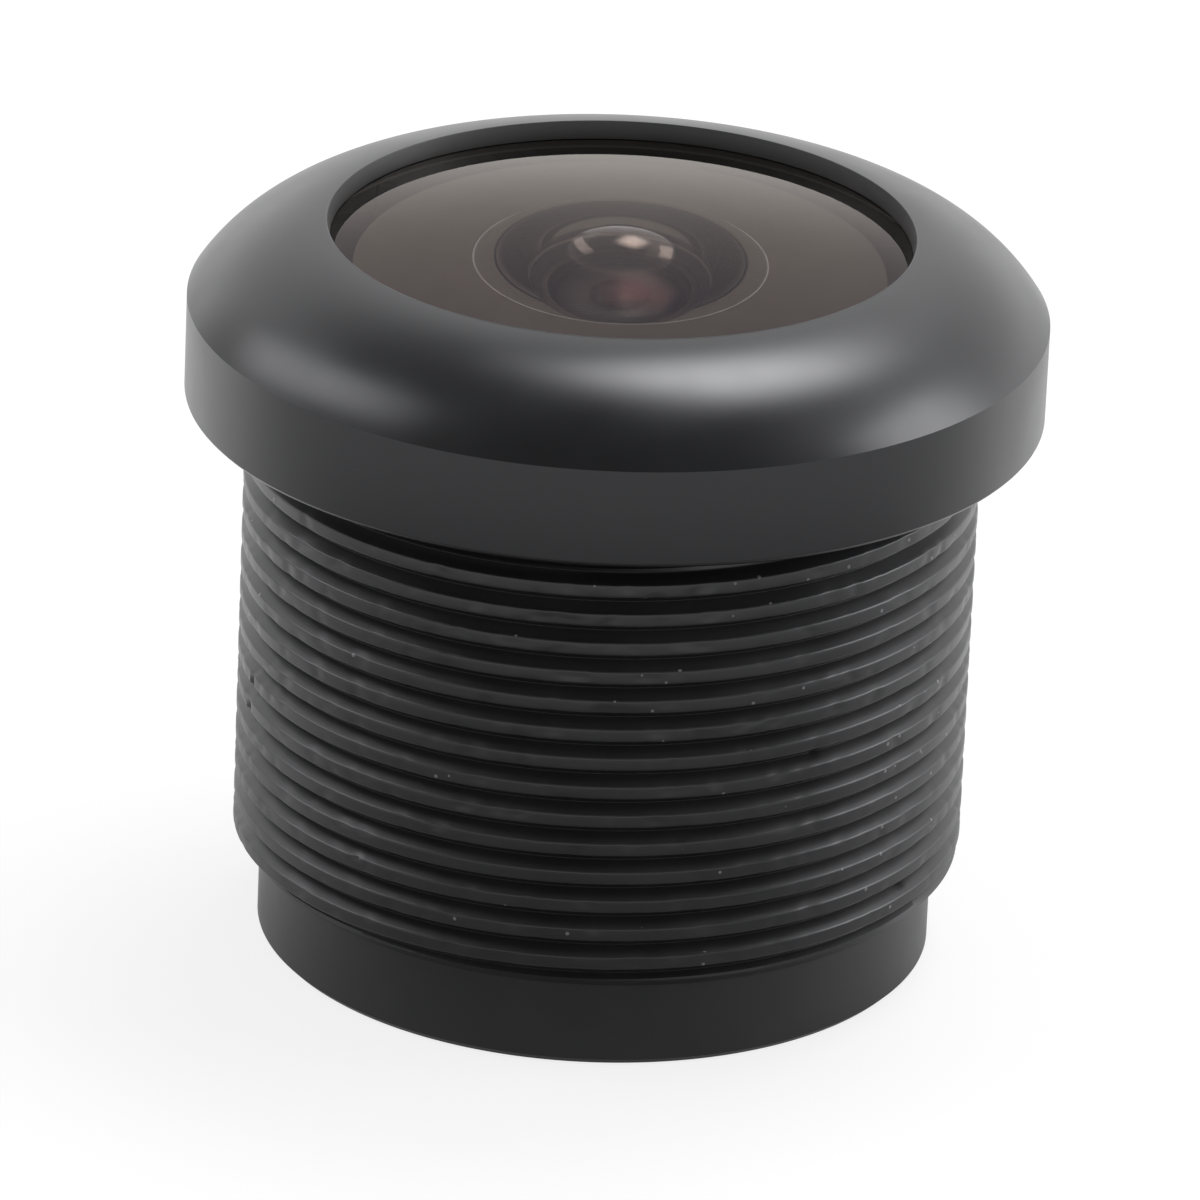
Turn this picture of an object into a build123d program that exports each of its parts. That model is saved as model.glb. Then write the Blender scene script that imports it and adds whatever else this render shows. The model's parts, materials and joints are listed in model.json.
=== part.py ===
from build123d import *
import math
import os

# Board lens with an M12 x 0.5 threaded barrel and a domed head.
# Millimetres. Z is the optical axis: z = 0 is the plane of the barrel's rear end, which faces
# the image sensor, and +Z points to the scene in front of the glass.

os.makedirs("parts", exist_ok=True)

# Barrel, outside
thread_r = 6.0            # major radius of the M12 thread
thread_chamfer = 0.30     # lead-in at the rear end of the thread
runout_chamfer = 0.12     # edge where the thread ends under the head
pilot_step = 0.45         # the pilot is this much smaller in radius than the thread
pilot_length = 1.5
relief_depth = 0.30       # run-out groove between the thread and the head
relief_width = 0.40
edge_break = 0.10         # small chamfer on turned edges

# Head
head_overhang = 1.0       # the head is this much larger in radius than the thread
skirt_height = 1.65       # straight side below the dome
skirt_edge = 0.07         # broken lower edge of the skirt
dome_rise = 1.35          # height of the dome above the skirt
dome_radius = 2.97        # radius of the dome's section
lip_overlap = 0.23        # the lip covers this much of the front element's edge
lip_thickness = 0.30
rim_flare = 0.05          # the mouth of the lip opens by this much in radius
rim_flare_depth = 0.21

# Fits
seat_step = 0.13          # width of the barrel's shoulder under the head
thread_gap = 0.02         # radial gap in the fine threads that hold the head and the rings
glass_gap = 0.05          # radial gap round each element, spacer and foil
seal_gap = 0.02           # gap left round the seal's section
bore_margin = 0.05        # a ring's bore is this much larger than the clear face beside it

# Glass diameters and the steps of the bore that follow them
front_group_r = 3.75      # second and third element
rear_group_r = 3.0        # fourth element and doublet
filter_r = 4.15
clamp_step = 0.30         # from the front bore out to the retainer's thread
clamp_depth = 0.06        # the retainer's thread runs this far past its seat
rear_ledge_width = 0.55   # ledge that carries the doublet
rear_ledge_thickness = 0.60
pocket_depth = 0.33       # the front element sinks this far into the barrel
seal_section = 0.60       # height and width of the squeezed seal
seal_sides = 8            # flats round the seal's section, four of them on its neighbours

# Filter and its retainer, from the rear
rear_recess = 0.30
rear_retainer_thickness = 0.70
rear_retainer_wall = 1.15
gasket_thickness = 0.15
gasket_wall = 1.0
filter_thickness = 0.40

# Elements: signed radius of each curved surface, positive where it bulges to the front. Hollow
# elements have a thickness at the centre, and the others a thickness at the edge. A flat is the
# width of the plane edge outside the curved face.
flint_thickness = 0.70
cement_radius = -6.0
crown_edge = 0.60
crown_front_radius = 8.0
crown_front_flat = 0.40
fourth_edge = 0.75
fourth_front_radius = 6.4
fourth_front_flat = 0.60
third_edge = 0.60
third_front_radius = 8.0
third_front_flat = 1.30
second_rear_radius = 4.9
second_thickness = 0.50
second_front_radius = 12.0
second_rear_flat = 1.55
second_front_flat = 1.25
front_rear_radius = 2.35
front_hollow_angle = 72.4   # degrees from the axis to the rim of the front element's deep hollow
front_thickness = 0.56
front_front_radius = 25.0
front_bevel = 0.29          # flat edge that the lip presses on

# Rings between the elements
rear_spacer_thickness = 0.75
stop_spacer_thickness = 0.72
third_spacer_thickness = 0.40
second_spacer_thickness = 0.55
shield_thickness = 0.08
rear_shield_hole_r = 2.2
stop_thickness = 0.10
stop_hole_r = 1.05
stack_retainer_thickness = 0.93
front_air = 0.32            # gap between the retainer and the front element

# Spanner slots of the two retaining rings
slot_width = 0.7
slot_depth = 0.35
slot_count = 2


def sag(radius, height):
    """How far a spherical surface has fallen at a height from the axis, up being positive."""
    return radius - math.copysign(math.sqrt(radius**2 - height**2), radius)


def face_line(apex, edge_z, clear_r, radius):
    """One face of an element, from the axis out to its rim: an arc, or a line where it is plane."""
    if apex == edge_z:
        Line((0, apex), (clear_r, edge_z))
    else:
        TangentArc((0, apex), (clear_r, edge_z), tangent=(1, 0))
    if clear_r < radius:
        Line((clear_r, edge_z), (radius, edge_z))


def lens_section(rear, front, radius):
    """Half section of an element. rear and front are (apex z, edge z, clear radius)."""
    with BuildSketch(Plane.XZ) as section:
        with BuildLine():
            face_line(*rear, radius)
            face_line(*front, radius)
            Line((radius, rear[1]), (radius, front[1]))
            Line((0, rear[0]), (0, front[0]))
        make_face()
    return section.sketch


def ring_section(inner_r, outer_r, bottom, top):
    """Half section of a plain ring."""
    with BuildSketch(Plane.XZ) as section:
        with Locations(((inner_r + outer_r) / 2, (bottom + top) / 2)):
            Rectangle(outer_r - inner_r, top - bottom)
    return section.sketch


# Radii, worked out from the thread inwards
pilot_r = thread_r - pilot_step
relief_r = thread_r - relief_depth
neck_r = relief_r - seat_step
head_r = thread_r + head_overhang
head_bore_r = neck_r + thread_gap
front_r = head_bore_r - seal_section - 2 * seal_gap
pocket_r = front_r + glass_gap
lip_r = front_r - lip_overlap
front_clear_r = front_r - front_bevel

# Radii of the bore, worked out from the glass outwards
front_bore_r = front_group_r + glass_gap
rear_bore_r = rear_group_r + glass_gap
ledge_bore_r = rear_bore_r - rear_ledge_width
filter_pocket_r = filter_r + glass_gap
clamp_bore_r = front_bore_r + clamp_step
clamp_ring_r = clamp_bore_r - thread_gap
rear_ring_r = filter_pocket_r - thread_gap

# Heights of the rear parts
gasket_z = rear_recess + rear_retainer_thickness
filter_z = gasket_z + gasket_thickness
filter_seat_z = filter_z + filter_thickness
doublet_z = filter_seat_z + rear_ledge_thickness

# Cemented doublet
cement_apex = doublet_z + flint_thickness
cement_edge_z = cement_apex - sag(cement_radius, rear_group_r)
crown_clear_r = rear_group_r - crown_front_flat
rear_spacer_z = cement_edge_z + crown_edge
crown_apex = rear_spacer_z + sag(crown_front_radius, crown_clear_r)

# Fourth element
rear_shield_z = rear_spacer_z + rear_spacer_thickness
fourth_z = rear_shield_z + shield_thickness
fourth_clear_r = rear_group_r - fourth_front_flat
stop_spacer_z = fourth_z + fourth_edge
fourth_apex = stop_spacer_z + sag(fourth_front_radius, fourth_clear_r)

# Stop and third element
stop_z = stop_spacer_z + stop_spacer_thickness
third_spacer_z = stop_z + stop_thickness
third_z = third_spacer_z + third_spacer_thickness
third_clear_r = front_group_r - third_front_flat
second_spacer_z = third_z + third_edge
third_apex = second_spacer_z + sag(third_front_radius, third_clear_r)

# Second element and the ring that clamps the stack
second_z = second_spacer_z + second_spacer_thickness
second_rear_clear_r = front_group_r - second_rear_flat
second_front_clear_r = front_group_r - second_front_flat
second_rear_apex = second_z + sag(second_rear_radius, second_rear_clear_r)
second_apex = second_rear_apex + second_thickness
front_shield_z = second_apex - sag(second_front_radius, second_front_clear_r)
clamp_z = front_shield_z + shield_thickness
clamp_top_z = clamp_z + stack_retainer_thickness
clamp_ring_bore_r = second_front_clear_r + bore_margin

# Front element
front_z = clamp_top_z + front_air
front_rear_clear_r = front_rear_radius * math.sin(math.radians(front_hollow_angle))
front_rear_apex = front_z + sag(front_rear_radius, front_rear_clear_r)
front_apex = front_rear_apex + front_thickness
lip_z = front_apex - sag(front_front_radius, front_clear_r)

# Head
top_z = lip_z + lip_thickness
shoulder_z = top_z - dome_rise
head_z = shoulder_z - skirt_height
neck_top_z = front_z + pocket_depth
seal_z = neck_top_z + seal_gap + seal_section / 2
seal_roof_z = seal_z + seal_section / 2 + seal_gap
seal_centre_r = (front_r + head_bore_r) / 2
thread_top_z = head_z - relief_width

# Barrel: turned outside, stepped bore inside
with BuildPart() as barrel:
    with BuildSketch(Plane.XZ):
        with BuildLine():
            Polyline(
                (0, 0),
                (pilot_r - edge_break, 0),
                (pilot_r, edge_break),
                (pilot_r, pilot_length),
                (thread_r - thread_chamfer, pilot_length),
                (thread_r, pilot_length + thread_chamfer),
                (thread_r, thread_top_z - runout_chamfer),
                (thread_r - runout_chamfer, thread_top_z),
                (relief_r, thread_top_z),
                (relief_r, head_z),
                (neck_r, head_z),
                (neck_r, neck_top_z),
                (0, neck_top_z),
                close=True,
            )
        make_face()
    revolve(axis=Axis.Z)
    bore_steps = [
        (filter_pocket_r, 0, filter_seat_z),
        (ledge_bore_r, filter_seat_z, doublet_z),
        (rear_bore_r, doublet_z, stop_z),
        (front_bore_r, stop_z, clamp_z - clamp_depth),
        (clamp_bore_r, clamp_z - clamp_depth, front_z),
        (pocket_r, front_z, neck_top_z),
    ]
    for radius, bottom, top in bore_steps:
        with BuildSketch(Plane.XY.offset(bottom)):
            Circle(radius)
        extrude(amount=top - bottom, mode=Mode.SUBTRACT)
    rear_mouth = barrel.faces().sort_by(Axis.Z)[0].inner_wires().edges()
    chamfer(rear_mouth, edge_break)
barrel.part.label = "barrel"
export_step(barrel.part, "parts/barrel.step")

# Head: a domed ring screwed over the neck, whose lip holds the front element
with BuildPart() as front_ring:
    with BuildSketch(Plane.XZ):
        with BuildLine():
            RadiusArc((head_r, shoulder_z), (lip_r + rim_flare, top_z), -dome_radius)
            Polyline(
                (lip_r + rim_flare, top_z),
                (lip_r, top_z - rim_flare_depth),
                (lip_r, lip_z),
                (pocket_r, lip_z),
                (pocket_r, seal_roof_z),
                (head_bore_r, seal_roof_z),
                (head_bore_r, head_z),
                (head_r - skirt_edge, head_z),
                (head_r, head_z + skirt_edge),
                (head_r, shoulder_z),
            )
        make_face()
    revolve(axis=Axis.Z)
front_ring.part.label = "front_ring"
export_step(front_ring.part, "parts/front_ring.step")

# Seal between the barrel's mouth, the head and the edge of the front element
with BuildPart() as front_o_ring:
    with BuildSketch(Plane.XZ):
        with Locations((seal_centre_r, seal_z)):
            RegularPolygon(seal_section / 2, seal_sides, major_radius=False, rotation=180 / seal_sides)
    revolve(axis=Axis.Z)
front_o_ring.part.label = "front_o_ring"
export_step(front_o_ring.part, "parts/front_o_ring.step")

# Front element: wide negative meniscus with a deep hollow behind
with BuildPart() as front_element:
    add(lens_section(
        (front_rear_apex, front_z, front_rear_clear_r),
        (front_apex, lip_z, front_clear_r),
        front_r,
    ))
    revolve(axis=Axis.Z)
front_element.part.label = "front_element"
export_step(front_element.part, "parts/front_element.step")

# Threaded ring that clamps the inner stack, with spanner slots across its front face
with BuildPart() as stack_retainer:
    add(ring_section(clamp_ring_bore_r, clamp_ring_r, clamp_z, clamp_top_z))
    revolve(axis=Axis.Z)
    with BuildSketch(Plane.XY.offset(clamp_top_z)):
        with PolarLocations((clamp_ring_bore_r + clamp_ring_r) / 2, slot_count):
            Rectangle(2 * (clamp_ring_r - clamp_ring_bore_r), slot_width)
    extrude(amount=-slot_depth, mode=Mode.SUBTRACT)
stack_retainer.part.label = "stack_retainer"
export_step(stack_retainer.part, "parts/stack_retainer.step")

# Blackened foil in front of the second element
with BuildPart() as front_light_shield:
    with BuildSketch(Plane.XY.offset(front_shield_z)):
        Circle(front_group_r)
        Circle(clamp_ring_bore_r, mode=Mode.SUBTRACT)
    extrude(amount=shield_thickness)
front_light_shield.part.label = "front_light_shield"
export_step(front_light_shield.part, "parts/front_light_shield.step")

# Second element: negative meniscus
with BuildPart() as second_element:
    add(lens_section(
        (second_rear_apex, second_z, second_rear_clear_r),
        (second_apex, front_shield_z, second_front_clear_r),
        front_group_r,
    ))
    revolve(axis=Axis.Z)
second_element.part.label = "second_element"
export_step(second_element.part, "parts/second_element.step")

# Spacer between the second and the third element
with BuildPart() as second_spacer:
    add(ring_section(third_clear_r + bore_margin, front_group_r, second_spacer_z, second_z))
    revolve(axis=Axis.Z)
second_spacer.part.label = "second_spacer"
export_step(second_spacer.part, "parts/second_spacer.step")

# Third element: plane behind, convex in front
with BuildPart() as third_element:
    add(lens_section(
        (third_z, third_z, front_group_r),
        (third_apex, second_spacer_z, third_clear_r),
        front_group_r,
    ))
    revolve(axis=Axis.Z)
third_element.part.label = "third_element"
export_step(third_element.part, "parts/third_element.step")

# Spacer between the third element and the stop
with BuildPart() as third_spacer:
    add(ring_section(third_clear_r + bore_margin, front_group_r, third_spacer_z, third_z))
    revolve(axis=Axis.Z)
third_spacer.part.label = "third_spacer"
export_step(third_spacer.part, "parts/third_spacer.step")

# Fixed aperture stop, on the shoulder of the bore
with BuildPart() as aperture_stop:
    with BuildSketch(Plane.XY.offset(stop_z)):
        Circle(front_group_r)
        Circle(stop_hole_r, mode=Mode.SUBTRACT)
    extrude(amount=stop_thickness)
aperture_stop.part.label = "aperture_stop"
export_step(aperture_stop.part, "parts/aperture_stop.step")

# Spacer between the stop and the fourth element
with BuildPart() as stop_spacer:
    add(ring_section(fourth_clear_r + bore_margin, rear_group_r, stop_spacer_z, stop_z))
    revolve(axis=Axis.Z)
stop_spacer.part.label = "stop_spacer"
export_step(stop_spacer.part, "parts/stop_spacer.step")

# Fourth element: plane behind, strongly convex in front
with BuildPart() as fourth_element:
    add(lens_section(
        (fourth_z, fourth_z, rear_group_r),
        (fourth_apex, stop_spacer_z, fourth_clear_r),
        rear_group_r,
    ))
    revolve(axis=Axis.Z)
fourth_element.part.label = "fourth_element"
export_step(fourth_element.part, "parts/fourth_element.step")

# Blackened foil behind the fourth element
with BuildPart() as rear_light_shield:
    with BuildSketch(Plane.XY.offset(rear_shield_z)):
        Circle(rear_group_r)
        Circle(rear_shield_hole_r, mode=Mode.SUBTRACT)
    extrude(amount=shield_thickness)
rear_light_shield.part.label = "rear_light_shield"
export_step(rear_light_shield.part, "parts/rear_light_shield.step")

# Spacer between the foil and the doublet
with BuildPart() as rear_spacer:
    add(ring_section(crown_clear_r + bore_margin, rear_group_r, rear_spacer_z, rear_shield_z))
    revolve(axis=Axis.Z)
rear_spacer.part.label = "rear_spacer"
export_step(rear_spacer.part, "parts/rear_spacer.step")

# Cemented doublet, front half: biconvex crown
with BuildPart() as doublet_crown:
    add(lens_section(
        (cement_apex, cement_edge_z, rear_group_r),
        (crown_apex, rear_spacer_z, crown_clear_r),
        rear_group_r,
    ))
    revolve(axis=Axis.Z)
doublet_crown.part.label = "doublet_crown"
export_step(doublet_crown.part, "parts/doublet_crown.step")

# Cemented doublet, rear half: flint, plane behind, whose hollow front face takes the crown
with BuildPart() as doublet_flint:
    add(lens_section(
        (doublet_z, doublet_z, rear_group_r),
        (cement_apex, cement_edge_z, rear_group_r),
        rear_group_r,
    ))
    revolve(axis=Axis.Z)
doublet_flint.part.label = "doublet_flint"
export_step(doublet_flint.part, "parts/doublet_flint.step")

# Plane filter on the rear ledge
with BuildPart() as ir_cut_filter:
    with BuildSketch(Plane.XY.offset(filter_z)):
        Circle(filter_r)
    extrude(amount=filter_thickness)
ir_cut_filter.part.label = "ir_cut_filter"
export_step(ir_cut_filter.part, "parts/ir_cut_filter.step")

# Soft ring that cushions the filter
with BuildPart() as filter_gasket:
    add(ring_section(filter_r - gasket_wall, filter_r, gasket_z, filter_z))
    revolve(axis=Axis.Z)
filter_gasket.part.label = "filter_gasket"
export_step(filter_gasket.part, "parts/filter_gasket.step")

# Threaded ring that holds the filter, with spanner slots across its rear face
with BuildPart() as rear_retainer:
    add(ring_section(rear_ring_r - rear_retainer_wall, rear_ring_r, rear_recess, gasket_z))
    revolve(axis=Axis.Z)
    with BuildSketch(Plane.XY.offset(rear_recess)):
        with PolarLocations(rear_ring_r - rear_retainer_wall / 2, slot_count):
            Rectangle(2 * rear_retainer_wall, slot_width)
    extrude(amount=slot_depth, mode=Mode.SUBTRACT)
rear_retainer.part.label = "rear_retainer"
export_step(rear_retainer.part, "parts/rear_retainer.step")

print("thread from", pilot_length + thread_chamfer, "to", round(thread_top_z - runout_chamfer, 3))
print("head from", round(head_z, 3), "shoulder", round(shoulder_z, 3), "top", round(top_z, 3))
print("front glass apex", round(front_apex, 3), "seat", round(front_z, 3), "lip", round(lip_z, 3))
print("radii", round(neck_r, 3), round(front_r, 3), round(lip_r, 3), round(clamp_bore_r, 3))
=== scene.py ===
import json
import math

import bmesh
import bpy
from mathutils import Matrix, Vector, noise


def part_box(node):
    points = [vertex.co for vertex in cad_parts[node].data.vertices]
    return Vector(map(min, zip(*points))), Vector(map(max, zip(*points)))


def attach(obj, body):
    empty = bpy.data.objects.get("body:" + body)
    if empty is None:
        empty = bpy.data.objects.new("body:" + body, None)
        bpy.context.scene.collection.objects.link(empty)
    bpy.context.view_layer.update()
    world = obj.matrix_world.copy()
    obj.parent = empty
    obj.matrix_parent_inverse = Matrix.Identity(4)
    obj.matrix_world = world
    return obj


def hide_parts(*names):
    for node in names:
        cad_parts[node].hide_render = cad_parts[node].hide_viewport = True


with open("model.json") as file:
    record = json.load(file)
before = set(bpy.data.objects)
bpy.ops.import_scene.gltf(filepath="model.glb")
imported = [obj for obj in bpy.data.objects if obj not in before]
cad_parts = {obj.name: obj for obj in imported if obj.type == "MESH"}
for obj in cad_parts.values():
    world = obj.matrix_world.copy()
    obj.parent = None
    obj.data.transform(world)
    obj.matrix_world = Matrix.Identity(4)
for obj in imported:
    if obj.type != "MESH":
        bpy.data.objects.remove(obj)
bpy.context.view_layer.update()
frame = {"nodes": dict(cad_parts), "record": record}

# Lengths below are millimetres, and the scene is metres.
MM = 0.001
ROUND = 256                 # segments round the parts that show
ROUND_INSIDE = 128          # segments round the parts inside the barrel

# Thread M12 x 0.5, right-hand, with its sharp crests cut flat
PITCH = 0.5
CREST_FLAT = 0.20
CREST_MIDDLE = 0.02         # half width of the crest's middle, which its rounding leaves flat
CREST_EDGE = 0.040          # rounding of the crest's two edges
ROOT_ROUND = 0.035
THREAD_DEPTH = 0.2165
FIRST_CREST = 0.52          # height of the first crest above the thread's rear end, in front
LEAD_IN = 0.30              # length and depth of the cone at the rear end
RUN_OUT = 0.24              # length of the cone at the end under the head
RELIEF_WIDTH = 0.40
PILOT_LENGTH = 1.5
PILOT_R = 5.55
RELIEF_R = 5.70
NECK_R = 5.57
EDGE_BREAK = 0.10
THREAD_COLUMNS = 480
HIDDEN_TURNS = 3            # turns of the helix below its first crest
WEAR_DEPTH = 0.016          # deepest small chip in the crests
WEAR_SCALE = 3.2            # chips per millimetre
WEAR_START = 0.12           # noise below this leaves the crest whole
WEAR_GAIN = 2.2
WEAR_REACH = 0.08           # wear goes this far down from the crest
NICKS = (
    # azimuth in degrees, height, half width along the thread, half height, depth
    (-71.5, 4.84, 0.05, 0.14, 0.16),
    (-73.0, 4.32, 0.05, 0.12, 0.14),
    (-40.0, 3.05, 0.04, 0.05, 0.06),
    (36.0, 5.35, 0.05, 0.05, 0.06),
    (58.0, 2.35, 0.06, 0.06, 0.08),
)

# Head
DOME_CENTRE = (4.505, 9.393)    # centre of the dome's section, as radius and height
DOME_RISE = 1.35
HEAD_BORE = 5.59
LIP_R = 4.72
LIP_THICKNESS = 0.30
LIP_FLARE = 0.05
LIP_FLARE_DEPTH = 0.21
RIM_ROUND = 0.010
SKIRT_EDGE = 0.07
SKIRT_ROUND = 0.02
DOME_STEPS = 44
SEAL_GAP = 0.02

# Inside
GLASS_GAP = 0.05
THREAD_GAP = 0.02
REAR_LEDGE = 0.5
CLAMP_DEPTH = 0.06
SLOT_WIDTH = 0.70
SLOT_DEPTH = 0.35
RING_EDGE = 0.05
# Width of the flat ground band round the front glass's hollow; its light grey also stands in for the light
# a bevel there would catch: painted highlight.
GROUND_HIGHLIGHT_WIDTH = 0.018
RIM_FADE = 0.45             # height over which the front glass's rim turns from brown to black; the brown at its rear edge is painted light, lighter than the flats' paint to make up for the little light the upright rim gets
CLAMP_RING_BORE = 2.55
FILTER_RING_BORE = 3.03
SLOT_COLUMNS = 8
LAND_COLUMNS = 44

# Glass: (signed radius, clear radius) of the rear and the front face, or None for a plane face. A radius
# is positive where the face bulges to the front.
FRONT_FACES = ((2.35, 2.24), (25.0, 4.74))
SECOND_FACES = ((4.9, 2.20), (12.0, 2.50))
THIRD_FACES = (None, (8.0, 2.45))
FOURTH_FACES = (None, (6.4, 2.40))
CROWN_FACES = ((-6.0, 3.0), (8.0, 2.60))
FLINT_FACES = (None, (-6.0, 3.0))
FILTER_FACES = (None, None)

# Bare specks on the crests
SPECK_SCALE = 5.0           # places for a speck per millimetre
SPECK_SIZE = 0.16
SPECK_SIDES = (-2.0, 5.0)   # X between which the share of places with a speck changes
SPECK_SHARES = (0.04, 0.22)
SPECK_LOW_R = 5.96

# Camera, fitted to the photograph's outline
AIM = Vector((-0.096, 0.0, 5.776)) * MM
CAMERA_DISTANCE = 186.59 * MM
CAMERA_ELEVATION = math.radians(23.4)
CAMERA_ROLL = math.radians(2.5)
FOCAL_PX = 11385.0
FRAME_PX = 1200.0
SENSOR_MM = 36.0

# Lamps, as seen from the object, in degrees
LAMPS = (
    # name, azimuth, elevation, width, height, radiance, faded share, roll
    ("lamp_right", 93, 27, 36, 34, 3.2, 0.45, 0),
    ("lamp_left", -101, 37, 54, 21, 2.2, 0.4, 38),
    ("lamp_top", 145, 67.5, 44, 44, 7.2, 0.85, 0),
)
LAMP_DISTANCE = 0.40
LAMP_AIM_HEIGHT = 8.0

# Room that metal and glass mirror, each as (from, to, level at from, level at to) of a smooth step
FRONT_WALL = (0.05, 0.60, 0.62, 0.12)       # by height
REAR_WALL = (0.10, 0.42, 1.32, 0.88)        # by height
REAR_CORNER = (-0.74, -0.60, 0.42, 1.0)     # by X, as a share of the rear wall's level
CEILING = (-0.2, 0.6, 0.12, 0.26)           # by depth
FRONT_TO_REAR = (-0.6, 0.3, 0, 1)           # by depth
WALL_TO_CEILING = (0.66, 0.86, 0, 1)        # by height, which CEILING_TILT lowers towards +X
CEILING_TILT = 0.15
AMBIENT = 0.38                              # level that falls on the object

# Table. What metal mirrors of it rises by a level in each zone of depth, given as (from, to, level).
FLOOR_HALF = 1.5
FLOOR_ZONES = ((-0.014, -0.007, 0.06), (-0.010, 0.004, 0.48), (0.003, 0.010, 0.27))
FLOOR_FAR = (0.021, 0.028, 0.0, 0.42)       # smooth step by distance from the object
FLOOR_GLOW = 0.80                           # what the camera sees, beside the lamps' light
FLOOR_GREY = 0.22
FLOOR_GREY_SHOWN = 0.25
# Near black grey of the table where it is seen through the glass: painted shade for the lens's shadow
# beneath it.
FLOOR_SHADE_IN_GLASS = 0.02


def extent(name):
    """(radius, bottom, top) of a CAD node, in millimetres."""
    low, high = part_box(name)
    return high.x / MM, low.z / MM, high.z / MM


# Mesh helpers

def mesh_object(name, verts, faces, smooth_angle=30.0, bands=None):
    """A mesh from points in millimetres, smooth except at edges sharper than smooth_angle.

    bands gives each face's material index."""
    bm = bmesh.new()
    made = [bm.verts.new([c * MM for c in v]) for v in verts]
    for k, face in enumerate(faces):
        corners = list(dict.fromkeys(face))
        if len(corners) > 2:
            bm.faces.new([made[i] for i in corners]).material_index = bands[k] if bands else 0
    bmesh.ops.remove_doubles(bm, verts=bm.verts, dist=1e-4 * MM)
    bmesh.ops.dissolve_degenerate(bm, edges=bm.edges, dist=1e-4 * MM)
    bmesh.ops.recalc_face_normals(bm, faces=bm.faces)
    mesh = bpy.data.meshes.new(name)
    bm.to_mesh(mesh)
    bm.free()
    mesh.polygons.foreach_set("use_smooth", [True] * len(mesh.polygons))
    mesh.set_sharp_from_angle(angle=math.radians(smooth_angle))
    obj = bpy.data.objects.new(name, mesh)
    bpy.context.scene.collection.objects.link(obj)
    return obj


def arc(centre, start, end, steps):
    """Points of the shorter arc round centre from start to end, both included."""
    a0 = math.atan2(start[1] - centre[1], start[0] - centre[0])
    a1 = math.atan2(end[1] - centre[1], end[0] - centre[0])
    a1 -= 2 * math.pi * round((a1 - a0) / (2 * math.pi))
    r = math.dist(centre, start)
    turn = [a0 + (a1 - a0) * k / steps for k in range(steps + 1)]
    return [(centre[0] + r * math.cos(t), centre[1] + r * math.sin(t)) for t in turn]


def soften(points, radius, steps=3):
    """A section's corners rounded off. points is an open line, and its two ends stay."""
    out = [points[0]]
    for before, corner, after in zip(points, points[1:], points[2:]):
        corner = Vector(corner)
        to_before = Vector(before) - corner
        to_after = Vector(after) - corner
        cut = min(radius, to_before.length / 3, to_after.length / 3)
        p0 = corner + to_before.normalized() * cut
        p1 = corner + to_after.normalized() * cut
        for k in range(steps + 1):
            t = k / steps
            out.append(tuple(p0 * (1 - t) ** 2 + corner * 2 * t * (1 - t) + p1 * t**2))
    out.append(points[-1])
    return out


def lathe(name, section, segments=ROUND, closed=False, smooth_angle=30.0, bands=None):
    """A section of (radius, height) points turned round the Z axis. bands: material per stretch."""
    count = len(section)
    stretches = count if closed else count - 1
    verts, faces, slots = [], [], []
    for i in range(segments):
        a = 2 * math.pi * i / segments
        verts += [(r * math.cos(a), r * math.sin(a), z) for r, z in section]
        j = (i + 1) % segments
        for k in range(stretches):
            m = (k + 1) % count
            faces.append((i * count + k, j * count + k, j * count + m, i * count + m))
            slots.append(bands[k] if bands else 0)
    return mesh_object(name, verts, faces, smooth_angle, slots)


# Material helpers

def node(nodes, kind, inputs=None, **values):
    made = nodes.new(kind)
    for key, value in values.items():
        setattr(made, key, value)
    for key, value in (inputs or {}).items():
        made.inputs[key].default_value = value
    return made


class Finish:
    """A material with a Principled shader and textures in the piece's own millimetres."""

    def __init__(self, name, **inputs):
        self.mat = bpy.data.materials.new(name)
        self.mat.use_nodes = True
        self.nodes, self.links = self.mat.node_tree.nodes, self.mat.node_tree.links
        self.shader = self.nodes["Principled BSDF"]
        for key, value in inputs.items():
            self.shader.inputs[key.replace("_", " ")].default_value = value
        coords = self.node("ShaderNodeTexCoord")
        scale = self.node("ShaderNodeMapping")
        scale.inputs["Scale"].default_value = [1 / MM] * 3
        self.links.new(coords.outputs["Object"], scale.inputs["Vector"])
        self.coords = scale.outputs["Vector"]

    def node(self, kind, inputs=None, **values):
        return node(self.nodes, kind, inputs, **values)

    def link(self, output, socket):
        self.links.new(output, socket)

    def noise(self, scale, detail=3.0):
        made = self.node("ShaderNodeTexNoise", {"Scale": scale, "Detail": detail})
        self.link(self.coords, made.inputs["Vector"])
        return made.outputs["Fac"]

    def remap(self, value, low, high, out_low, out_high):
        made = self.node("ShaderNodeMapRange", {
            "From Min": low, "From Max": high, "To Min": out_low, "To Max": out_high})
        self.link(value, made.inputs["Value"])
        return made.outputs["Result"]

    def math(self, operation, a, b):
        return calculate(self.nodes, self.links, operation, a, b)

    def colours(self, value, dark, light):
        """Colour dark where value is 0 and light where it is 1. Each may be a colour or an output."""
        made = self.node("ShaderNodeMix", data_type="RGBA")
        self.link(value, made.inputs["Factor"])
        for key, colour in (("A", dark), ("B", light)):
            socket = next(s for s in made.inputs if s.name == key and s.type == "RGBA")
            if isinstance(colour, tuple):
                socket.default_value = (*colour, 1)
            else:
                self.link(colour, socket)
        return next(s for s in made.outputs if s.type == "RGBA")

    def bump(self, value, height):
        made = self.node("ShaderNodeBump", {"Strength": 1.0, "Distance": height * MM})
        self.link(value, made.inputs["Height"])
        self.link(made.outputs["Normal"], self.shader.inputs["Normal"])


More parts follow.
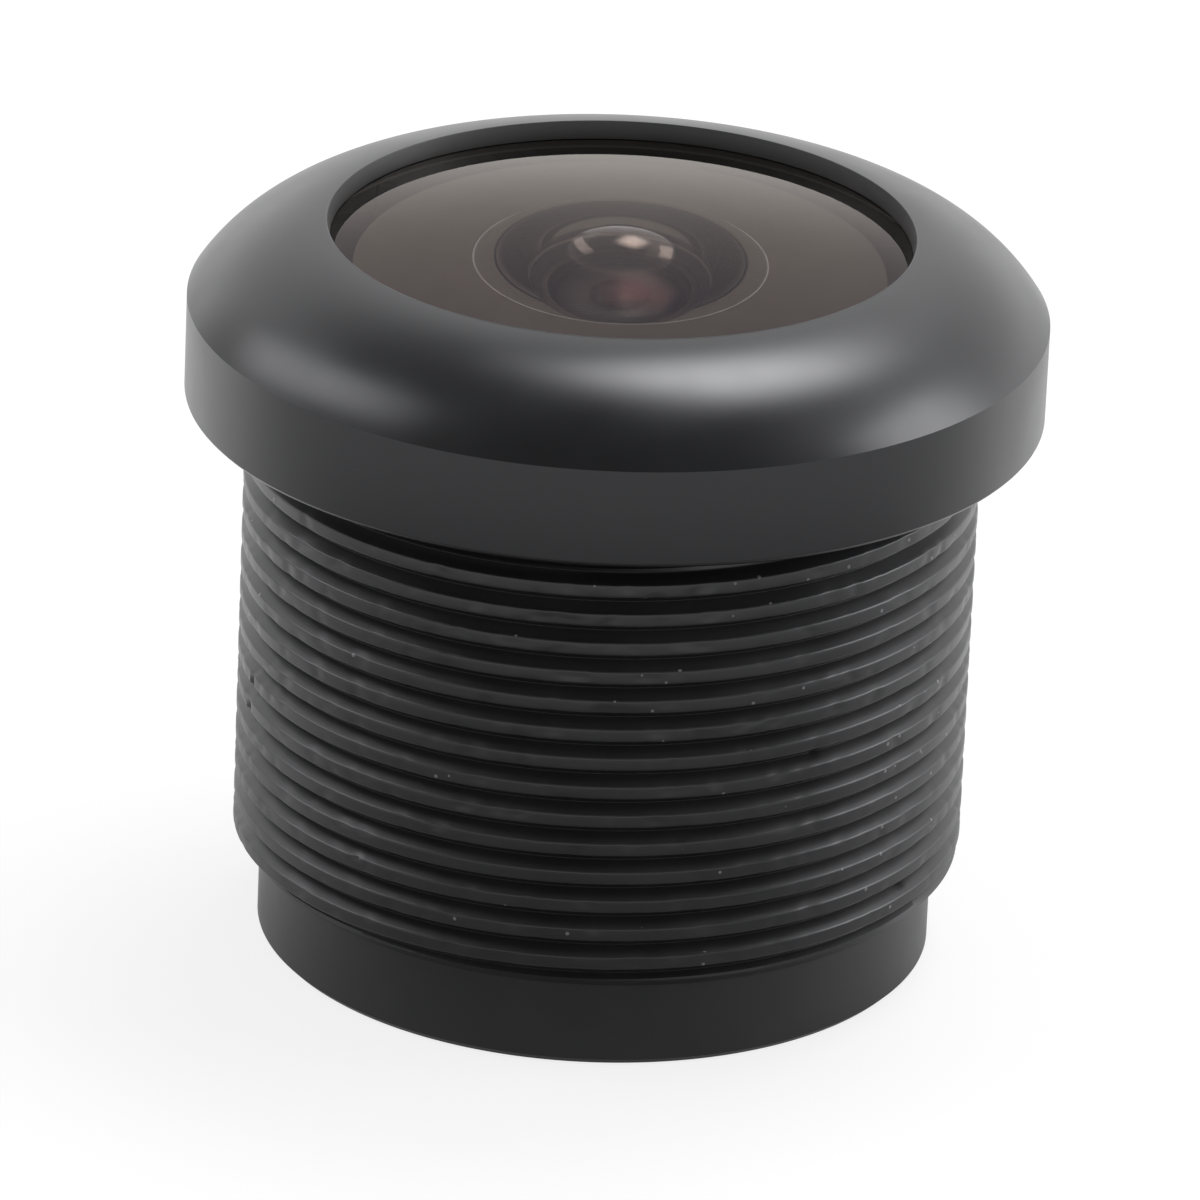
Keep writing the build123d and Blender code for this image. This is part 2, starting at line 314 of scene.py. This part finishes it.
def anodised(name, dark, light, roughness, grain, grain_height):
    """Black anodised aluminium: a dark hard oxide with a fine even grain and a satin gloss."""
    made = Finish(name, IOR=1.76, Specular_Tint=(0.965, 0.97, 1.0, 1.0))
    cloud = made.noise(0.8, 4.0)
    mottle = made.colours(made.remap(cloud, 0.35, 0.65, 0, 1), dark, light)
    made.link(mottle, made.shader.inputs["Base Color"])
    made.link(made.remap(cloud, 0.3, 0.7, *roughness), made.shader.inputs["Roughness"])
    made.bump(made.noise(grain, 2.0), grain_height)
    return made


def chip_edges(made, bare):
    """Tiny bare specks on the outermost edges, where the oxide is chipped, and more of them towards +X."""
    cells = made.node("ShaderNodeTexVoronoi", {"Scale": SPECK_SCALE, "Randomness": 1.0})
    made.link(made.coords, cells.inputs["Vector"])
    pick = made.node("ShaderNodeSeparateColor")
    made.link(cells.outputs["Color"], pick.inputs["Color"])
    axes = made.node("ShaderNodeSeparateXYZ")
    made.link(made.coords, axes.inputs["Vector"])
    squares = [made.math("POWER", axes.outputs[key], 2.0) for key in "XY"]
    share = made.remap(axes.outputs["X"], *SPECK_SIDES, *SPECK_SHARES)
    speck = made.math("LESS_THAN", cells.outputs["Distance"], SPECK_SIZE)
    rare = made.math("LESS_THAN", pick.outputs["Red"], share)
    outer = made.math("GREATER_THAN", made.math("ADD", *squares), SPECK_LOW_R**2)
    mask = made.math("MULTIPLY", made.math("MULTIPLY", speck, rare), outer)
    socket = made.shader.inputs["Base Color"]
    made.link(made.colours(mask, socket.links[0].from_socket, bare), socket)


def fade_up(made, start, low, high):
    """The colour start at height low, which turns into the material's own by height high."""
    axes = made.node("ShaderNodeSeparateXYZ")
    made.link(made.coords, axes.inputs["Vector"])
    socket = made.shader.inputs["Base Color"]
    own = socket.links[0].from_socket
    made.link(made.colours(made.remap(axes.outputs["Z"], low, high, 0, 1), start, own), socket)


def let_light_through(made, tint):
    """Shadow and diffuse rays pass straight through the glass, so that the pieces behind it are lit."""
    path = made.node("ShaderNodeLightPath")
    straight = made.node("ShaderNodeBsdfTransparent", {"Color": (*tint, 1)})
    pick = made.node("ShaderNodeMixShader")
    passing = made.math("MAXIMUM", path.outputs["Is Shadow Ray"], path.outputs["Is Diffuse Ray"])
    made.link(passing, pick.inputs[0])
    made.link(made.shader.outputs[0], pick.inputs[1])
    made.link(straight.outputs[0], pick.inputs[2])
    made.link(pick.outputs[0], made.nodes["Material Output"].inputs["Surface"])


def glass(name, tint, ior, coating=(1.0, 1.0, 1.0), roughness=(0.0, 0.006), film=0.0):
    """Polished optical glass with the faint haze of handling.

    coating tints its reflections. film is the thickness of an antireflection layer in nanometres."""
    made = Finish(name, IOR=ior, Transmission_Weight=1.0, Specular_Tint=(*coating, 1),
                  Thin_Film_Thickness=film, Thin_Film_IOR=1.42)
    cloud = made.noise(1.2, 5.0)
    made.link(made.remap(cloud, 0.45, 0.8, *roughness), made.shader.inputs["Roughness"])
    lighter = tuple(min(1, c * 1.02) for c in tint)
    made.link(made.colours(cloud, tint, lighter), made.shader.inputs["Base Color"])
    let_light_through(made, tint)
    return made


def matt(name, dark, light, roughness, specular=0.5, grain_height=0.002):
    """Black paint, foil or rubber with a faint mottle."""
    made = Finish(name, Specular_IOR_Level=specular)
    cloud = made.noise(2.5, 4.0)
    mottle = made.colours(made.remap(cloud, 0.35, 0.65, 0, 1), dark, light)
    made.link(mottle, made.shader.inputs["Base Color"])
    made.link(made.remap(cloud, 0.3, 0.7, *roughness), made.shader.inputs["Roughness"])
    if grain_height:
        made.bump(made.noise(14, 2.0), grain_height)
    return made


def finish_piece(obj, materials, slot, *replaced):
    for made in materials:
        obj.data.materials.append(made.mat)
    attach(obj, "root")
    if replaced:
        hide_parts(*replaced)
    return obj


# Camera, lamps and stage

def make_camera():
    data = bpy.data.cameras.new("camera")
    data.sensor_width = SENSOR_MM
    data.lens = FOCAL_PX / FRAME_PX * SENSOR_MM
    data.clip_start = 0.01
    data.clip_end = 10.0
    cam = bpy.data.objects.new("camera", data)
    bpy.context.scene.collection.objects.link(cam)
    back = Vector((0, -math.cos(CAMERA_ELEVATION), math.sin(CAMERA_ELEVATION)))
    turn = (-back).to_track_quat("-Z", "Y").to_matrix() @ Matrix.Rotation(CAMERA_ROLL, 3, "Z")
    cam.matrix_world = Matrix.Translation(AIM + back * CAMERA_DISTANCE) @ turn.to_4x4()
    bpy.context.scene.camera = cam


def direction(azimuth, elevation):
    """Unit vector from the object. Azimuth 0 points at the photograph's camera, 90 to +X."""
    a, e = math.radians(azimuth), math.radians(elevation)
    return Vector((math.sin(a) * math.cos(e), -math.cos(a) * math.cos(e), math.sin(e)))


def smooth_step(nodes, links, value, low, high, out_low, out_high):
    made = node(nodes, "ShaderNodeMapRange", {
        "From Min": low, "From Max": high, "To Min": out_low, "To Max": out_high},
        interpolation_type="SMOOTHSTEP")
    links.new(value, made.inputs["Value"])
    return made.outputs["Result"]


def blend(nodes, links, factor, a, b):
    """Number a where factor is 0 and b where it is 1. Each may be a number or an output."""
    made = node(nodes, "ShaderNodeMix", data_type="FLOAT")
    links.new(factor, made.inputs["Factor"])
    for key, value in (("A", a), ("B", b)):
        if isinstance(value, (int, float)):
            made.inputs[key].default_value = value
        else:
            links.new(value, made.inputs[key])
    return made.outputs["Result"]


def calculate(nodes, links, operation, a, b):
    """A Math node. Each operand may be a number or an output."""
    made = node(nodes, "ShaderNodeMath", operation=operation)
    for socket, value in zip(made.inputs, (a, b)):
        if isinstance(value, (int, float)):
            socket.default_value = value
        else:
            links.new(value, socket)
    return made.outputs[0]


def softbox(name, azimuth, elevation, wide, tall, radiance, fade, roll):
    """A rectangular lamp that covers wide by tall degrees as seen from the object.

    Its light fades out over the share fade of the way from its edges to its middle."""
    lamp = bpy.data.lights.new(name, "AREA")
    lamp.shape = "RECTANGLE"
    lamp.size = 2 * LAMP_DISTANCE * math.tan(math.radians(wide / 2))
    lamp.size_y = 2 * LAMP_DISTANCE * math.tan(math.radians(tall / 2))
    lamp.energy = radiance * math.pi * lamp.size * lamp.size_y
    lamp.use_nodes = True
    nodes, links = lamp.node_tree.nodes, lamp.node_tree.links
    place = node(nodes, "ShaderNodeNewGeometry")
    sides = node(nodes, "ShaderNodeSeparateXYZ")
    links.new(place.outputs["Parametric"], sides.inputs["Vector"])
    level = 1.0
    for side in ("X", "Y"):
        away = calculate(nodes, links, "SUBTRACT", sides.outputs[side], 0.5)
        reach = calculate(nodes, links, "ABSOLUTE", away, 0.0)
        faded = smooth_step(nodes, links, reach, 0.5 * (1 - fade), 0.5, 1.0, 0.0)
        level = calculate(nodes, links, "MULTIPLY", level, faded)
    links.new(level, nodes["Emission"].inputs["Strength"])
    obj = bpy.data.objects.new(name, lamp)
    bpy.context.scene.collection.objects.link(obj)
    towards = direction(azimuth, elevation)
    facing = towards.to_track_quat("Z", "Y").to_matrix() @ Matrix.Rotation(math.radians(roll), 3, "Z")
    aim = Vector((0, 0, LAMP_AIM_HEIGHT * MM))
    obj.matrix_world = Matrix.Translation(aim + towards * LAMP_DISTANCE) @ facing.to_4x4()
    obj.visible_camera = False
    return obj


def make_world():
    """A white room: white to the camera, darker overhead and in front in the reflections."""
    world = bpy.data.worlds.new("studio")
    bpy.context.scene.world = world
    world.use_nodes = True
    nodes, links = world.node_tree.nodes, world.node_tree.links
    nodes.clear()
    path = node(nodes, "ShaderNodeLightPath")
    coords = node(nodes, "ShaderNodeTexCoord")
    axes = node(nodes, "ShaderNodeSeparateXYZ")
    links.new(coords.outputs["Generated"], axes.inputs["Vector"])
    x, y, z = (axes.outputs[key] for key in "XYZ")
    front = smooth_step(nodes, links, z, *FRONT_WALL)
    rear = smooth_step(nodes, links, z, *REAR_WALL)
    corner = smooth_step(nodes, links, x, *REAR_CORNER)
    rear = calculate(nodes, links, "MULTIPLY", rear, corner)
    wall = blend(nodes, links, smooth_step(nodes, links, y, *FRONT_TO_REAR), front, rear)
    ceiling = smooth_step(nodes, links, y, *CEILING)
    tilt = calculate(nodes, links, "MULTIPLY", x, CEILING_TILT)
    height = calculate(nodes, links, "SUBTRACT", z, tilt)
    room = blend(nodes, links, smooth_step(nodes, links, height, *WALL_TO_CEILING), wall, ceiling)
    level = blend(nodes, links, path.outputs["Is Glossy Ray"], AMBIENT, room)
    shown = blend(nodes, links, path.outputs["Is Camera Ray"], level, 1.0)
    back = node(nodes, "ShaderNodeBackground", {"Color": (1, 1, 1, 1)})
    links.new(shown, back.inputs["Strength"])
    out = node(nodes, "ShaderNodeOutputWorld")
    links.new(back.outputs["Background"], out.inputs["Surface"])


def make_floor():
    """A white table. It glows for the camera, so that it stays white round the object's shadow. Seen
    through the glass it turns near black: painted shade under the lens.
    """
    mesh = bpy.data.meshes.new("floor")
    corners = [(FLOOR_HALF * i, FLOOR_HALF * j, 0) for i, j in ((-1, -1), (1, -1), (1, 1), (-1, 1))]
    mesh.from_pydata(corners, [], [(0, 1, 2, 3)])
    floor = bpy.data.objects.new("floor", mesh)
    bpy.context.scene.collection.objects.link(floor)
    mat = bpy.data.materials.new("floor")
    mat.use_nodes = True
    nodes, links = mat.node_tree.nodes, mat.node_tree.links
    nodes.clear()
    path = node(nodes, "ShaderNodeLightPath")
    coords = node(nodes, "ShaderNodeTexCoord")
    axes = node(nodes, "ShaderNodeSeparateXYZ")
    links.new(coords.outputs["Object"], axes.inputs["Vector"])
    y = axes.outputs["Y"]
    away = node(nodes, "ShaderNodeVectorMath", operation="LENGTH")
    links.new(coords.outputs["Object"], away.inputs[0])
    mirrored = 0.0
    for low, high, level in FLOOR_ZONES:
        zone = smooth_step(nodes, links, y, low, high, 0.0, level)
        mirrored = calculate(nodes, links, "ADD", mirrored, zone)
    far = smooth_step(nodes, links, away.outputs["Value"], *FLOOR_FAR)
    mirrored = calculate(nodes, links, "MAXIMUM", mirrored, far)
    glow = blend(nodes, links, path.outputs["Is Glossy Ray"], 0.0, mirrored)
    glow = blend(nodes, links, path.outputs["Is Transmission Ray"], glow, 0.0)
    glow = blend(nodes, links, path.outputs["Is Camera Ray"], glow, FLOOR_GLOW)
    # Seen through the glass the table is near black: painted shade under the lens.
    albedo = blend(nodes, links, path.outputs["Is Transmission Ray"], FLOOR_GREY, FLOOR_SHADE_IN_GLASS)
    albedo = blend(nodes, links, path.outputs["Is Camera Ray"], albedo, FLOOR_GREY_SHOWN)
    grey = node(nodes, "ShaderNodeCombineColor")
    for key in ("Red", "Green", "Blue"):
        links.new(albedo, grey.inputs[key])
    light = node(nodes, "ShaderNodeEmission", {"Color": (1, 1, 1, 1)})
    links.new(glow, light.inputs["Strength"])
    surface = node(nodes, "ShaderNodeBsdfDiffuse")
    links.new(grey.outputs["Color"], surface.inputs["Color"])
    total = node(nodes, "ShaderNodeAddShader")
    links.new(light.outputs[0], total.inputs[0])
    links.new(surface.outputs[0], total.inputs[1])
    out = node(nodes, "ShaderNodeOutputMaterial")
    links.new(total.outputs[0], out.inputs["Surface"])
    mesh.materials.append(mat)


# Barrel

def thread_profile(crest_r):
    """(height from the crest's middle, radius) over one pitch, crest first, with softened edges."""
    crest, root = (CREST_FLAT / 2, crest_r), (PITCH / 2, crest_r - THREAD_DEPTH)
    flank = (Vector(root) - Vector(crest)).normalized()
    middle = tuple((Vector(crest) + Vector(root)) / 2)
    near_root = tuple(Vector(root) - flank * ROOT_ROUND)
    across_root = (PITCH - near_root[0], near_root[1])
    half = [(0.0, crest_r)] + soften([(CREST_MIDDLE, crest_r), crest, middle], CREST_EDGE, 4)
    bottom = soften([near_root, root, across_root], ROOT_ROUND, 6)
    half += [point for point in bottom if point[0] <= PITCH / 2 + 1e-6]
    return half + [(PITCH - h, r) for h, r in reversed(half[1:-1])]


def worn(angle, r, z):
    """How much a crest is worn away at a place: a few small chips."""
    place = Vector((r * math.cos(angle), r * math.sin(angle), z)) * WEAR_SCALE
    chip = max(0.0, noise.noise(place) - WEAR_START) * WEAR_GAIN
    return WEAR_DEPTH * min(1.0, chip)


def nicked(angle, r, z):
    """Depth of the knocks in the thread at a place."""
    depth = 0.0
    for azimuth, height, wide, tall, deep in NICKS:
        along = math.remainder(angle - math.radians(azimuth - 90), 2 * math.pi) * r / wide
        up = (z - height) / tall
        depth += deep * math.exp(-along**2 - up**2)
    return depth


def barrel_radius(angle, r, z, crest_r, high):
    """Outer radius of the barrel above the pilot: the thread's profile, worn and cut by its end cones."""
    if z >= high or z <= PILOT_LENGTH:
        return RELIEF_R
    if r > crest_r - WEAR_REACH:
        r -= worn(angle, r, z)
    lead_in = crest_r - LEAD_IN + (z - PILOT_LENGTH)
    run_out = RELIEF_R + (high - z) * (crest_r - RELIEF_R) / RUN_OUT
    return max(RELIEF_R, min(r, lead_in, run_out) - nicked(angle, r, z))


def barrel_bore():
    """Points of the barrel's inside, from the rear edge of the thread to the run-out groove."""
    filter_r, _, filter_top = extent("ir_cut_filter")
    rear_r, doublet_z, _ = extent("doublet_flint")
    front_r, stop_z, _ = extent("aperture_stop")
    ring_r, ring_z, _ = extent("stack_retainer")
    glass_r, seat_z, _ = extent("front_element")
    neck_top = extent("barrel")[2]
    head_z = extent("front_ring")[1]
    pocket = filter_r + GLASS_GAP
    clamp_z = ring_z - CLAMP_DEPTH
    pilot = [(RELIEF_R, PILOT_LENGTH), (PILOT_R, PILOT_LENGTH), (PILOT_R, EDGE_BREAK)]
    rear_face = [(PILOT_R - EDGE_BREAK, 0.0), (pocket + EDGE_BREAK, 0.0)]
    steps = [(pocket, EDGE_BREAK, filter_top), (rear_r - REAR_LEDGE, filter_top, doublet_z),
             (rear_r + GLASS_GAP, doublet_z, stop_z), (front_r + GLASS_GAP, stop_z, clamp_z),
             (ring_r + THREAD_GAP, clamp_z, seat_z), (glass_r + GLASS_GAP, seat_z, neck_top)]
    bore = [(r, z) for r, low, high in steps for z in (low, high)]
    neck = [(NECK_R, neck_top), (NECK_R, head_z), (RELIEF_R, head_z)]
    return pilot + rear_face + bore + neck


def make_barrel(finish):
    """The barrel: helical thread, pilot and run-out groove outside, stepped bore inside.

    The helix starts HIDDEN_TURNS below the first crest, so that the pilot cuts off its whole first turn."""
    crest_r = extent("barrel")[0]
    head_z = extent("front_ring")[1]
    high = head_z - RELIEF_WIDTH
    profile = thread_profile(crest_r)
    per_turn = len(profile)
    turns = int((head_z - PILOT_LENGTH) / PITCH) + HIDDEN_TURNS + 1
    rows = turns * per_turn
    front = -math.pi / 2
    verts, faces = [], []
    for i in range(THREAD_COLUMNS):
        share = i / THREAD_COLUMNS
        angle = front + 2 * math.pi * share
        lift = PILOT_LENGTH + FIRST_CREST + PITCH * (share - HIDDEN_TURNS)
        for k in range(rows):
            h, r = profile[k % per_turn]
            z = lift + PITCH * (k // per_turn) + h
            r = barrel_radius(angle, r, z, crest_r, high)
            verts.append((r * math.cos(angle), r * math.sin(angle), min(max(z, PILOT_LENGTH), head_z)))
        for k in range(rows - 1):
            a, b = i * rows + k, i * rows + k + 1
            c, d = a + rows, b + rows
            if i == THREAD_COLUMNS - 1:
                c, d = min(k + per_turn, rows - 1), min(k + 1 + per_turn, rows - 1)
            faces.append((a, c, d, b))
    inner = barrel_bore()
    base, count = len(verts), len(inner)
    for i in range(THREAD_COLUMNS):
        angle = front + 2 * math.pi * i / THREAD_COLUMNS
        verts += [(r * math.cos(angle), r * math.sin(angle), z) for r, z in inner]
        this, other = base + i * count, base + (i + 1) % THREAD_COLUMNS * count
        faces += [(this + k, this + k + 1, other + k + 1, other + k) for k in range(count - 1)]
    obj = mesh_object("barrel_threaded", verts, faces, smooth_angle=28.0)
    return finish_piece(obj, [finish], "barrel_anodised", "barrel")


# Head

def make_head(finish, lip_painted_light_finish):
    """The domed head with its skirt, and the lip that holds the front glass.

    The wall inside the lip takes the second finish, a lighter grey copy of the anodising: painted light
    that lifts the shade in that recess."""
    head_r, head_z, top = extent("front_ring")
    glass_bore = extent("front_element")[0] + GLASS_GAP
    seal_roof = extent("front_o_ring")[2] + SEAL_GAP
    shoulder = top - DOME_RISE
    rim = LIP_R + LIP_FLARE
    lip_z = top - LIP_THICKNESS
    section = soften([(HEAD_BORE, head_z), (head_r - SKIRT_EDGE, head_z), (head_r, head_z + SKIRT_EDGE),
                      (head_r, shoulder - SKIRT_ROUND)], SKIRT_ROUND)
    section += arc(DOME_CENTRE, (head_r, shoulder), (rim + 2 * RIM_ROUND, top - RIM_ROUND / 8), DOME_STEPS)
    mouth = [(rim + 1.5 * RIM_ROUND, top), (rim, top), (LIP_R, top - LIP_FLARE_DEPTH)]
    section += soften(mouth, RIM_ROUND, 5)
    section += [(LIP_R, lip_z)]
    section += [(glass_bore, lip_z), (glass_bore, seal_roof), (HEAD_BORE, seal_roof)]
    in_mouth = [LIP_R <= r <= rim and z >= lip_z for r, z in section]
    bands = [int(this and other) for this, other in zip(in_mouth, in_mouth[1:] + in_mouth[:1])]
    obj = lathe("head", section, closed=True, smooth_angle=32.0, bands=bands)
    return finish_piece(obj, [finish, lip_painted_light_finish], "head_anodised", "front_ring")


# Glass

POLISHED, INKED, HOLLOW, GROUND_PAINTED_HIGHLIGHT, RIM_INK_AND_PAINTED_LIGHT = range(5)   # places in an element's list of materials


def sag(radius, reach):
    """How far a spherical face falls from its apex to a distance from the axis."""
    return radius - math.copysign(math.sqrt(radius**2 - reach**2), radius)


def face_points(apex, radius, reach, steps):
    """Points of a spherical face from the axis out to reach."""
    reaches = [reach * math.sin(math.pi / 2 * k / steps) for k in range(steps + 1)]
    return [(d, apex - sag(radius, d)) for d in reaches]


def half_section(face, level, radius, outward, polished, steps):
    """(points, bands) of one side of an element, from the axis to its rim.

    face is (signed radius, clear radius), or None for a plane side. level is the side's outermost
    height, and outward is 1 for the front and -1 for the rear. A narrow flat band of unpainted ground glass
    runs round a hollow; its light grey is also a painted highlight for the light a bevel there would catch."""
    if face is None:
        return [(0.0, level), (radius, level)], [polished]
    curve, clear = face
    bulges = curve * outward > 0
    apex = level if bulges else level + sag(curve, clear)
    points = face_points(apex, curve, clear, steps)
    bands = [polished] * steps
    edge_z = points[-1][1]
    if polished == HOLLOW:
        points.append((clear + GROUND_HIGHLIGHT_WIDTH, edge_z))
        bands.append(GROUND_PAINTED_HIGHLIGHT)
    if clear < radius:
        points.append((radius, edge_z))
        bands.append(INKED)
    return points, bands


def make_element(node_name, name, rear, front, materials, slot, segments=ROUND_INSIDE, steps=40):
    """A glass element as high and as wide as its node. Its flats are inked black.

    Its rim is inked too, in a deeper black where materials name a fifth finish. That finish turns lighter
    brown towards the rim's rear edge: painted light for the little light the upright rim gets."""
    radius, bottom, top = extent(node_name)
    rear_finish = HOLLOW if len(materials) > HOLLOW else POLISHED
    rim_finish = RIM_INK_AND_PAINTED_LIGHT if len(materials) > RIM_INK_AND_PAINTED_LIGHT else INKED
    points, bands = half_section(front, top, radius, 1, POLISHED, steps)
    back, rear_bands = half_section(rear, bottom, radius, -1, rear_finish, steps)
    bands += [rim_finish] + rear_bands[::-1]
    obj = lathe(name, points + back[::-1], segments, smooth_angle=25.0, bands=bands)
    return finish_piece(obj, materials, slot, node_name)


def make_glass(paint, rim_ink_and_painted_light, ground_and_painted_highlight, front, hollow, inner, red, doublet, plate):
    make_element("front_element", "front_glass", *FRONT_FACES, [front, paint, hollow, ground_and_painted_highlight, rim_ink_and_painted_light],
                 "front_glass", segments=ROUND, steps=120)
    make_element("second_element", "second_glass", *SECOND_FACES, [red, paint], "inner_glass", steps=80)
    make_element("third_element", "third_glass", *THIRD_FACES, [inner, paint], "inner_glass")
    make_element("fourth_element", "fourth_glass", *FOURTH_FACES, [inner, paint], "inner_glass")
    make_element("doublet_crown", "crown_glass", *CROWN_FACES, [doublet, paint], "inner_glass")
    make_element("doublet_flint", "flint_glass", *FLINT_FACES, [doublet, paint], "inner_glass")
    make_element("ir_cut_filter", "filter_plate", *FILTER_FACES, [plate, paint], "filter_glass")


# Retaining rings

def slotted_ring(name, node_name, bore, outward, finish):
    """A retaining ring with two spanner slots across its outer face. outward: 1 faces up, -1 down."""
    outer, bottom, top = extent(node_name)
    face, seat = (top, bottom) if outward > 0 else (bottom, top)
    half_inner, half_outer = (math.asin(SLOT_WIDTH / 2 / r) for r in (bore, outer))
    columns = []
    for turn in (0.0, math.pi):
        for k in range(SLOT_COLUMNS + 1):
            t = 2 * k / SLOT_COLUMNS - 1
            columns.append((turn + half_inner * t, turn + half_outer * t, SLOT_DEPTH))
        for k in range(LAND_COLUMNS + 1):
            t = k / LAND_COLUMNS
            columns.append((turn + half_inner + (math.pi - 2 * half_inner) * t,
                            turn + half_outer + (math.pi - 2 * half_outer) * t, 0.0))
    verts = []
    for inner_angle, outer_angle, cut in columns:
        z = face - outward * cut
        edge = z - outward * RING_EDGE
        section = [
            (bore, seat, inner_angle), (outer, seat, outer_angle),
            (outer, edge, outer_angle), (outer - RING_EDGE, z, outer_angle),
            (bore + RING_EDGE, z, inner_angle), (bore, edge, inner_angle),
        ]
        verts += [(r * math.cos(a), r * math.sin(a), h) for r, h, a in section]
    n, m = len(columns), len(section)
    faces = [(i * m + k, i * m + (k + 1) % m, (i + 1) % n * m + (k + 1) % m, (i + 1) % n * m + k)
             for i in range(n) for k in range(m)]
    obj = mesh_object(name, verts, faces, smooth_angle=25.0)
    return finish_piece(obj, [finish], "ring_anodised", node_name)


def dress_cad_nodes(by_slot):
    """The pieces hidden in the barrel keep their solids and get the same materials."""
    for part in frame["record"]["subparts"]:
        obj = frame["nodes"][part["node"]]
        made = by_slot[part["material_slot"]]
        if not obj.material_slots:
            obj.data.materials.append(made.mat)
        for slot in obj.material_slots:
            slot.material = made.mat


def main():
    make_camera()
    make_world()
    make_floor()
    for lamp in LAMPS:
        softbox(*lamp)

    barrel_black = anodised("barrel_anodised", (0.0150, 0.0150, 0.0157), (0.0200, 0.0200, 0.0210),
                            roughness=(0.30, 0.38), grain=30, grain_height=0.0006)
    chip_edges(barrel_black, (0.26, 0.26, 0.27))
    head_black = anodised("head_anodised", (0.0048, 0.0050, 0.0060), (0.0064, 0.0067, 0.0080),
                          roughness=(0.28, 0.32), grain=40, grain_height=0.0003)
    # Lighter grey copy of the head's anodising for the wall inside the lip: painted light, lifting the
    # shade in that recess.
    lip_painted_light = anodised("lip_anodised_painted_light", (0.050, 0.050, 0.051), (0.058, 0.058, 0.059),
                        roughness=(0.42, 0.46), grain=40, grain_height=0.0003)
    ring_black = matt("ring_anodised", (0.006, 0.006, 0.006), (0.009, 0.009, 0.009),
                      roughness=(0.55, 0.65), specular=0.35, grain_height=0.0006)
    rubber = matt("seal_rubber", (0.010, 0.010, 0.010), (0.014, 0.014, 0.014), roughness=(0.55, 0.65))
    foil = matt("foil_black", (0.004, 0.004, 0.004), (0.006, 0.006, 0.006), roughness=(0.60, 0.70))

    ink = {"roughness": (0.7, 0.8), "specular": 0.0, "grain_height": 0.0}
    paint = matt("edge_paint", (0.060, 0.050, 0.041), (0.067, 0.056, 0.046), **ink)
    rim_ink_and_painted_light = matt("rim_ink_and_painted_light", (0.008, 0.007, 0.006), (0.011, 0.010, 0.009), **ink)
    rear_z = extent("front_element")[1]
    # The rim's rear edge starts in a brown lighter than the flats' paint, which makes up for the little
    # light the upright rim gets: painted light.
    fade_up(rim_ink_and_painted_light, (0.100, 0.082, 0.069), rear_z, rear_z + RIM_FADE)
    # Unpainted ground glass round the hollow, lighter grey also as a painted highlight for the light a
    # bevel there would catch.
    ground_and_painted_highlight = matt("ground_edge_painted_highlight", (0.16, 0.15, 0.145), (0.19, 0.18, 0.17), **ink)

    warm, plain = (0.97, 0.955, 0.93), (0.93, 0.93, 0.90)
    front = glass("front_glass", warm, ior=1.70, coating=(1.0, 1.0, 0.92), film=120.0)
    hollow = glass("front_glass_hollow", warm, ior=1.70, coating=(0.88, 0.66, 0.56))
    inner = glass("inner_glass", plain, ior=1.65, coating=(0.10, 0.11, 0.10))
    red = glass("inner_glass_red", (0.93, 0.90, 0.88), ior=1.65, coating=(0.14, 0.045, 0.045),
                roughness=(0.12, 0.16))
    doublet = glass("doublet_glass", plain, ior=1.62, coating=(0.10, 0.12, 0.10))
    plate = glass("filter_glass", (0.70, 0.84, 0.82), ior=1.52, coating=(1.0, 0.55, 0.5))

    dress_cad_nodes({
        "barrel_anodised": barrel_black, "head_anodised": head_black, "ring_anodised": ring_black,
        "seal_rubber": rubber, "foil_black": foil, "front_glass": front, "inner_glass": inner,
        "filter_glass": plate,
    })
    make_barrel(barrel_black)
    make_head(head_black, lip_painted_light)
    make_glass(paint, rim_ink_and_painted_light, ground_and_painted_highlight, front, hollow, inner, red, doublet, plate)
    slotted_ring("clamp_ring", "stack_retainer", CLAMP_RING_BORE, 1, ring_black)
    slotted_ring("filter_ring", "rear_retainer", FILTER_RING_BORE, -1, ring_black)
    bpy.context.scene.view_settings.view_transform = "Standard"


main()
